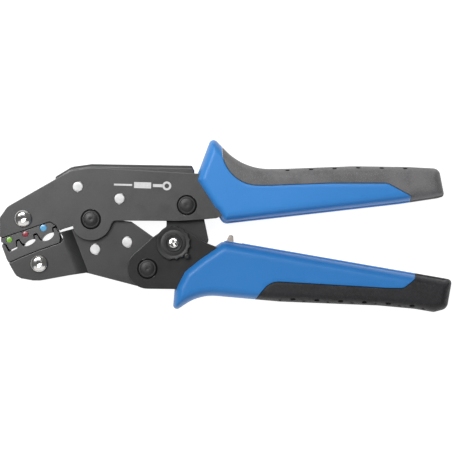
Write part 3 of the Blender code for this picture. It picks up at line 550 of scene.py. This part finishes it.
def make_die_screws():
    for name in ("upper_die", "lower_die"):
        node = name + "_screw"
        centre, low, high = middle(node)
        seat = high - 2.5
        shank = 2.5
        socket = hexagon(3.0, 30)
        thread = []
        for i in range(5):
            thread += [(shank, low + 0.6 + 0.5 * i), (shank - 0.25, low + 0.85 + 0.5 * i)]
        dome = [(4.4, seat), (4.4, seat + 0.35)]
        dome += [(4.4 * cos(radians(a)), seat + 0.35 + 2.35 * sin(radians(a))) for a in range(8, 66, 6)]
        rim = high
        profile = [(0, low), (shank - 0.4, low), (shank, low + 0.4), *thread, (shank, seat - 0.05),
                   (4.15, seat - 0.05), *dome, (1.95, rim), (socket, rim - 0.2), (socket, rim - 1.5),
                   (0.9, rim - 1.6), (0, rim - 1.9)]
        piece(node + "_finished", turned(profile, centre, 72), node, smooth=38)
        node = name + "_nut"
        centre, low, high = middle(node)
        outer = hexagon(8.0)
        profile = [(2.62, low + 0.3), (2.95, low), (3.7, low), (outer, low + 0.25),
                   (outer, high - 0.25), (3.7, high), (2.95, high), (2.62, high - 0.3)]
        piece(node + "_finished", turned(profile, centre, 72), node)


PRINT_HALF = 0.02


def make_mark():
    """A printed pictogram of a cable end and its ring terminal."""
    x, y = (11.5, 17.3)
    face = middle("frame_plate_front")[2]
    low = face - PRINT_HALF
    high = face + PRINT_HALF
    bm = bmesh.new()
    ring = turned([(1.15, low), (2.2, low), (2.2, high), (1.15, high)], (x + 26.3, y))
    bars = ((x, x + 9.0, 0.45), (x + 10.0, x + 18.5, 1.5), (x + 19.4, x + 24.3, 0.75))
    for start, end, half in bars:
        cube = bmesh.ops.create_cube(bm, size=1)
        bmesh.ops.scale(bm, vec=(end - start, 2 * half, 2 * PRINT_HALF), verts=cube["verts"])
        bmesh.ops.translate(bm, vec=((start + end) / 2, y, face), verts=cube["verts"])
    mesh = bpy.data.meshes.new("ring")
    ring.to_mesh(mesh)
    ring.free()
    bm.from_mesh(mesh)
    lean = Matrix.Rotation(radians(-1.5), 3, "Z")
    bmesh.ops.rotate(bm, cent=(x, y, 0), matrix=lean, verts=bm.verts)
    piece("printed_mark", bm, "frame_plate_front", [PRINT], replaced=[])


def make_dots():
    for colour in ("green", "red", "blue"):
        node = "dot_" + colour
        centre, low, high = middle(node)
        low_corner, high_corner = (tool(corner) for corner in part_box(node))
        radius = (high_corner.x - low_corner.x) / 2
        rise = 0.15
        dome = []
        for angle in range(0, 90, 15):
            turn = radians(angle)
            dome.append((radius * cos(turn), high - rise + rise * sin(turn)))
        profile = [(0, low), (radius * 0.9, low), (radius, low + 0.1), *dome, (0, high)]
        piece(node + "_finished", turned(profile, centre), node)


# Adjusting wheel

SCALLOPS = 9
SCALLOP_ANGLE = 22.5
SCALLOP_START = -102.0


def rim(radius, depth=0.7):
    """Radius of the wheel by angle: nine finger scallops, and a plain rim on the other side."""
    def reach(angle):
        turn = (angle - SCALLOP_START) % 360
        if turn >= SCALLOPS * SCALLOP_ANGLE:
            return radius
        return radius - depth * abs(sin(pi * turn / SCALLOP_ANGLE)) ** 0.8
    return reach


def make_wheel():
    centre = pivot("wheel_turn")
    node = "adjusting_wheel"
    _, low, high = middle(node)
    profile = [(1.75, low), (rim(8.35), low), (rim(8.7), low + 0.3), (rim(8.7), high - 0.35),
               (rim(8.4), high), (6.9, high), (6.6, high - 0.12), (6.2, high - 0.12), (5.9, high),
               (4.9, high), (1.75, high)]
    piece(node + "_finished", turned(profile, centre, 288), node, [MATERIALS["dark_steel"]])
    node = "wheel_collar"
    _, low, high = middle(node)
    profile = [(3.2, low), (4.4, low), (4.4, low + 0.3), (4.25, high - 0.08), (4.05, high),
               (3.75, high - 0.05), (3.55, high - 0.25), (3.3, high - 0.3), (3.2, high - 0.4)]
    piece(node + "_finished", turned(profile, centre, 72), node, [MATERIALS["dark_steel"]])
    node = "wheel_screw"
    _, low, high = middle(node)
    recess = cross(0.34, 1.5, 20)
    flare = cross(0.46, 1.7, 20)
    seat = high - 1.05
    profile = [(0, low), (1.1, low), (1.5, low + 0.4), (1.5, seat), (2.6, seat), (2.6, seat + 0.4),
               (2.5, seat + 0.65), (2.3, seat + 0.85), (2.0, high - 0.08), (flare, high),
               (recess, high - 0.15), (recess, high - 0.6), (0.3, high - 0.8), (0, high - 0.85)]
    piece(node + "_finished", turned(profile, centre, 144), node, smooth=35)
    eased("eccentric_pin", 0.15)
    node = "lock_screw"
    centre, low, high = middle(node)
    seat = high - 0.95
    profile = [(0, low), (0.4, low), (0.5, low + 0.1), (0.5, seat), (1.5, seat), (1.5, seat + 0.3),
               (1.42, seat + 0.5), (1.2, seat + 0.74), (0.8, seat + 0.9), (0.45, high),
               (hexagon(0.8), high - 0.02), (hexagon(0.75), high - 0.5), (0, high - 0.6)]
    piece(node + "_finished", turned(profile, centre, 72), node)


# Springs

def coil(start, end, radius, turns, steps=16):
    """Points of a coil about the line from start to end, in the mid-plane. It begins at the front."""
    run = Vector((end[0] - start[0], end[1] - start[1], 0))
    side = Vector((-run.y, run.x, 0)).normalized()
    points = []
    for i in range(turns * steps + 1):
        turn = 2 * pi * i / steps
        place = Vector((*start, 0)) + run * (i / (turns * steps))
        points.append(place + (Vector((0, 0, 1)) * cos(turn) + side * sin(turn)) * radius)
    return points


def spring(node, path, radius):
    """A coil spring that stretches between two bodies."""
    obj = piece(node + "_finished", tube(path, radius), node, weighted=False)
    obj.parent = None
    del obj["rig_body"]
    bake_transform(obj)
    return obj


def make_springs():
    x, y = (47.0, 14.8)
    start = (41.0, 13.97)
    end = (25.5, 11.81)
    hook = arc(middle("frame_rivet_2")[0], 3.35, 30, 250, 16)
    path = [(x, y, -3.0), (x, y, -1.5), (x, y, 0), (x, y, 1.6), (x, y, 2.6), (x - 0.3, y - 0.05, 3.0),
            (x - 1.0, y - 0.14, 3.15), (x - 3.5, y - 0.5, 2.9)]
    path += coil(start, end, 2.3, 17)
    path += [(24.2, 12.0, 1.7), (23.0, 12.2, 1.0), (20.5, 12.3, 0.2)]
    path += [(px, py, 0) for px, py in hook]
    spring("opening_spring", path, 0.38)
    x, y = (61.8, -28.2)
    start = (65.2, y)
    end = (74.0, y)
    hook = arc(middle("spring_post")[0], 1.8, 150, -70, 16)
    path = [(x, y, -2.2), (x, y, 0), (x, y, 1.4), (x, y, 1.8), (x + 0.3, y, 2.05), (x + 0.8, y, 2.1),
            (x + 2.0, y, 1.9)]
    path += coil(start, end, 1.5, 13)
    path += [(74.6, y + 0.6, 1.1), (75.0, y + 0.8, 0.8), (75.8, y + 1.2, 0.1)]
    path += [(px, py, 0) for px, py in hook[1:]]
    spring("pawl_spring", path, 0.28)


# Grips

GRIP_HALF = 10.0
GRIP_ROUND = 4.6
FRONT_ROUND = 2.4
GRIP_POWER = 2.1
LIP = 0.7
LIP_HEIGHT = 2.3
ROWS = (0.06, 0.2, 0.35, 0.45, 0.55, 0.7, 0.9, 1.15, 1.45, 1.8, 2.3, 2.9, 3.6, 4.4, 5.2)
SEAM = ((0.07, 0.4), (0.2, 0.12), (0.45, 0.0))


def upper_grip_outline():
    return rounded([
        (51.85, 19.5, 2.5), (60.12, 41.6, 2.3), (75.9, 25.1, 30.0), (97.0, 25.3), (131.0, 26.6, 60.0),
        (158.0, 26.2), (173.6, 25.4, 3.8), (176.3, 11.5, 1.6), (172.75, 10.45), (153.65, 7.55),
        (75.65, -1.3), (65.9, -2.4, 3.6),
    ])


def upper_split():
    """Edge between shell and pad, from the thumb guard to the underside at the rear."""
    return rounded([
        (65.3, 44.0), (65.3, 16.8, 18.0), (89.4, 16.8), (119.0, 17.9), (147.5, 17.9, 8.0),
        (159.1, 11.6, 1.0), (159.3, 2.0),
    ], closed=False)


def lower_grip_outline():
    return rounded([
        (66.44, -10.36, 3.0), (53.8, -19.0), (45.9, -25.4, 7.0), (41.6, -33.8, 8.0),
        (40.45, -46.7, 1.9), (54.2, -37.6, 24.0), (94.15, -41.15), (143.3, -43.1),
        (161.3, -44.75), (171.0, -46.4, 3.0), (177.6, -44.6, 4.0), (180.2, -30.1, 2.2),
    ])


def lower_split():
    return rounded([
        (76.6, -46.0), (89.4, -30.8, 9.0), (147.85, -34.2), (155.5, -34.3, 5.0), (161.0, -29.9, 1.5),
        (163.6, -21.0),
    ], closed=False)


def grip_height(points, rim_line, front_line, lip_line):
    """Half thickness of a grip.

    It rounds over to its outline, and more tightly to its front end. Along the lip line, where the halves
    of the moulding meet, it stands in from a low ledge.
    """
    side = distance(points, rim_line)
    lip = np.clip(1 - (distance(points, lip_line, closed=False) - side) / 1.5, 0, 1)
    front = distance(points, front_line, closed=False) / FRONT_ROUND
    reach = np.clip(np.minimum((side - LIP * lip) / GRIP_ROUND, front), 0, 1)
    rise = (1 - (1 - reach) ** GRIP_POWER) ** (1 / GRIP_POWER)
    ledge = lip * LIP_HEIGHT * np.clip(side / 0.3, 0, 1)
    return np.maximum(ledge, GRIP_HALF * rise)


def grip_points(outline, split, front_line):
    """Points and constraint edges of a grip's plan: rows that follow the rim, the seam and a loose middle."""
    outline = divided(outline, 0.55)
    if within(shifted(outline, 0.1), outline).mean() < 0.5:
        outline = outline[::-1]
    rows = [outline]
    for depth in ROWS:
        row = shifted(outline, depth)
        keep = within(row, outline) & (distance(row, outline) > 0.985 * depth)
        rows.append(row[keep][:: 1 if depth < 3 else 2])
    for depth in (0.15, 0.45, 0.9, 1.5, 2.4):
        row = shifted(divided(front_line, 0.5, closed=False), -depth, closed=False)
        rows.append(row[within(row, outline) & (distance(row, outline) > 0.5)])
    xs = np.arange(outline[:, 0].min(), outline[:, 0].max(), 2.2)
    ys = np.arange(outline[:, 1].min(), outline[:, 1].max(), 2.2)
    grid = np.array([(x, y) for x in xs for y in ys])
    rows.append(grid[within(grid, outline) & (distance(grid, outline) > ROWS[-1] + 0.5)])
    edges = [(i, (i + 1) % len(outline)) for i in range(len(outline))]
    first = sum(len(row) for row in rows)
    for reach, _ in SEAM:
        for side in (-reach, reach):
            line = shifted(divided(split, 0.6, closed=False), side, closed=False)
            rows.append(line)
            edges += [(first + i, first + i + 1) for i in range(len(line) - 1)]
            first += len(line)
    return outline, np.vstack(rows), edges


def half_grip(points, heights, on_rim, triangles):
    """A closed solid from some of a grip's plan triangles, mirrored to the back."""
    bm = bmesh.new()
    front = {}
    back = {}
    for index in np.unique(triangles):
        x, y = points[index]
        if on_rim[index]:
            front[index] = back[index] = bm.verts.new((x, y, 0))
        else:
            front[index] = bm.verts.new((x, y, heights[index]))
            back[index] = bm.verts.new((x, y, -heights[index]))
    sides = {}
    for a, b, c in triangles:
        bm.faces.new((front[a], front[b], front[c]))
        bm.faces.new((back[c], back[b], back[a]))
        for pair in ((a, b), (b, c), (c, a)):
            sides[pair] = sides.get(pair, 0) + 1
    for a, b in sides:
        if (b, a) in sides or (on_rim[a] and on_rim[b]):
            continue
        wall = dict.fromkeys((front[b], front[a], back[a], back[b]))
        if len(wall) > 2:
            bm.faces.new(wall)
    return bm


def spheres(places):
    """Small balls at the places, each (x, y, z, radius), as one cutter."""
    bm = bmesh.new()
    for x, y, z, radius in places:
        ball = bmesh.ops.create_icosphere(bm, subdivisions=3, radius=radius)
        bmesh.ops.translate(bm, vec=(x, y, z), verts=ball["verts"])
    # The balls' faces take the second material, which paints shade into the pits they cut.
    for face in bm.faces:
        face.material_index = 1
    return bm


def make_grip(name, outline, split, lines, rows, finishes, slot):
    """A hard shell and a soft pad with rows of pits along its outer edge."""
    front_line, lip_line = (np.array(line, float) for line in lines)
    rim_line, plan, edges = grip_points(outline, split, front_line)
    flat, _, triangles, _, _, _ = delaunay_2d_cdt([Vector(p) for p in plan], edges, [], 1, 1e-5)
    points = np.array([(p.x, p.y) for p in flat])
    triangles = np.array(triangles)
    centroids = points[triangles].mean(1)
    keep = within(centroids, rim_line)
    triangles = triangles[keep]
    centroids = centroids[keep]
    on_rim = distance(points, rim_line) < 1e-4
    line = divided(split, 0.6, closed=False)
    heights = grip_height(points, rim_line, front_line, lip_line)
    seam_gap = distance(points, line, closed=False)
    heights = np.maximum(heights - np.interp(seam_gap, *zip(*SEAM)), 0.05)
    side = 90 if split[0][1] > split[-1][1] else -90
    rear = np.array([*split, (split[-1][0], -side), (230, -side), (230, side), (split[0][0], side)])
    in_rear = within(centroids, rear)
    in_seam = distance(centroids, line, closed=False) < SEAM[0][0] - 1e-3
    shell = half_grip(points, heights, on_rim, triangles[~in_rear & ~in_seam])
    shell = piece(name + "_shell_finished", shell, name + "_shell", finishes[:1], smooth=50, weighted=False)
    if slot:
        carve(shell, name + "_slot", slot)
    pad = half_grip(points, heights, on_rim, triangles[in_rear & ~in_seam])
    # The pits' faces get the near-black rubber, painted shade.
    materials = [finishes[1], PIT_SHADE_RUBBER]
    pad = piece(name + "_pad_finished", pad, name + "_pad", materials, smooth=50, weighted=False)
    outer = rim_line[within(shifted(rim_line, 1.0), rear)]
    outer = outer[(outer[:, 1] - rim_line[:, 1].mean()) * side > 0]
    places = []
    for xs, inset, radius in rows:
        for x in xs:
            nearest = outer[np.argmin(abs(outer[:, 0] - x))]
            y = nearest[1] - inset * (1 if side > 0 else -1)
            spot = np.array([(x, y)])
            level = grip_height(spot, rim_line, front_line, lip_line)[0] if inset > 0 else 0.0
            places += [(x, y, z, radius) for z in {level, -level}]
    carve(pad, name + "_pits", spheres(places))


def spaced(first, last, count):
    """Evenly spaced values from first to last."""
    return [first + (last - first) * i / (count - 1) for i in range(count)]


TONGUE_SLOT = (10.6, 13.0, 3.6)
TONGUE_SLOT_AT = (69.9, -12.5, 0)


def make_grips():
    upper_front = [(66.5, -3.4), (51.0, 18.9)]
    lower_front = [(66.9, -9.4), (53.0, -19.0), (45.0, -25.4), (41.2, -33.0), (40.6, -36.5)]
    upper_lip = rounded([(62.5, 3.1), (65.9, -2.4, 3.6), (75.65, -1.3), (153.65, 7.55), (172.75, 10.45),
                         (175.5, 11.26)], closed=False)
    lower_lip = [(66.44, -10.36), (176.0, -29.37)]
    # The upper pad takes the lighter rubber, whose colour holds painted light.
    make_grip("upper_grip", upper_grip_outline(), upper_split(), (upper_front, upper_lip),
              [(spaced(97.8, 156.4, 6), 0.9, 1.15), (spaced(91.9, 162.2, 7), -0.1, 1.15)],
              (MATERIALS["blue_plastic"], PAINTED_LIT_RUBBER), None)
    slot = bmesh.new()
    bmesh.ops.create_cube(slot, size=1)
    bmesh.ops.scale(slot, vec=TONGUE_SLOT, verts=slot.verts)
    bmesh.ops.translate(slot, vec=TONGUE_SLOT_AT, verts=slot.verts)
    # The lower shell takes the deeper blue, whose colour holds painted shade.
    make_grip("lower_grip", lower_grip_outline(), lower_split(), (lower_front, lower_lip),
              [(spaced(100.5, 159.7, 6), 1.5, 1.35), (spaced(94.1, 165.3, 7), 0.85, 0.85)],
              (SHADED_BLUE_PLASTIC, MATERIALS["dark_rubber"]), slot)


def carve(obj, name, bm):
    """Cuts a solid out of a piece."""
    bmesh.ops.scale(bm, vec=(MM, MM, MM), verts=bm.verts)
    bmesh.ops.translate(bm, vec=ORIGIN, verts=bm.verts)
    mesh = bpy.data.meshes.new(name)
    bm.to_mesh(mesh)
    bm.free()
    mesh.shade_smooth()
    for material in obj.data.materials:
        mesh.materials.append(material)
    cutter = bpy.data.objects.new(name, mesh)
    bpy.context.scene.collection.objects.link(cutter)
    modifier = obj.modifiers.new(name, "BOOLEAN")
    modifier.operation = "DIFFERENCE"
    modifier.solver = "EXACT"
    modifier.object = cutter
    graph = bpy.context.evaluated_depsgraph_get()
    baked = bpy.data.meshes.new_from_object(obj.evaluated_get(graph), depsgraph=graph)
    obj.modifiers.remove(modifier)
    obj.data = baked
    baked.set_sharp_from_angle(angle=radians(50))
    bpy.data.objects.remove(cutter)


# Room

FLOOR_HALF = 3.0
FLOOR_GAP = 0.0002
FLOOR_GLOW = 0.95


def area_light(name, place, aim, size, power):
    """A white rectangular light. Places and sizes are metres."""
    data = bpy.data.lights.new(name, "AREA")
    data.shape = "RECTANGLE"
    data.size, data.size_y = size
    data.energy = power
    light = bpy.data.objects.new(name, data)
    light.location = place
    light.rotation_euler = (Vector(aim) - Vector(place)).to_track_quat("-Z", "Y").to_euler()
    bpy.context.scene.collection.objects.link(light)


def make_room():
    bm = bmesh.new()
    bmesh.ops.create_grid(bm, x_segments=2, y_segments=2, size=FLOOR_HALF)
    bmesh.ops.translate(bm, vec=(0, 0, cad_box[0].z - FLOOR_GAP), verts=bm.verts)
    mesh = bpy.data.meshes.new("floor")
    bm.to_mesh(mesh)
    bm.free()
    look = Look("pale_floor", 0.7, Specular_IOR_Level=0.1, Emission_Color=(1, 1, 1, 1),
                Emission_Strength=FLOOR_GLOW)
    look.colour(look.mix(look.noise(160, 2), (0.24, 0.24, 0.24), (0.26, 0.26, 0.26)))
    mesh.materials.append(look.material)
    floor = bpy.data.objects.new("floor", mesh)
    bpy.context.scene.collection.objects.link(floor)
    area_light("softbox", (-0.3, 0.5, 1.0), (0, 0, 0), (1.0, 0.9), 11.0)
    area_light("key", (-0.22, 0.2, 0.5), (-0.02, 0, 0), (0.22, 0.22), 1.1)
    area_light("far_card", (0.0, 1.0, 0.4), (0, 0, 0), (1.2, 0.5), 0.7)
    area_light("near_card", (0.0, -0.75, 0.58), (0, 0, 0), (2.0, 0.8), 4.2)
    world = bpy.data.worlds.new("studio")
    world.use_nodes = True
    world.node_tree.nodes["Background"].inputs["Color"].default_value = (1, 1, 1, 1)
    world.node_tree.nodes["Background"].inputs["Strength"].default_value = 0.14
    bpy.context.scene.world = world
    bpy.context.scene.view_settings.view_transform = "Standard"


def make_camera():
    """Straight down on the front face, through a long lens."""
    data = bpy.data.cameras.new("camera")
    data.lens = 200
    data.sensor_width = 36
    camera = bpy.data.objects.new("camera", data)
    seen = 0.226
    camera.location = (0, 0, ORIGIN.z + seen * data.lens / data.sensor_width)
    data.clip_end = 10
    bpy.context.scene.collection.objects.link(camera)
    bpy.context.scene.camera = camera


make_camera()
make_room()
make_plates()
make_pins()
make_die_screws()
make_dots()
make_mark()
make_wheel()
make_springs()
make_grips()
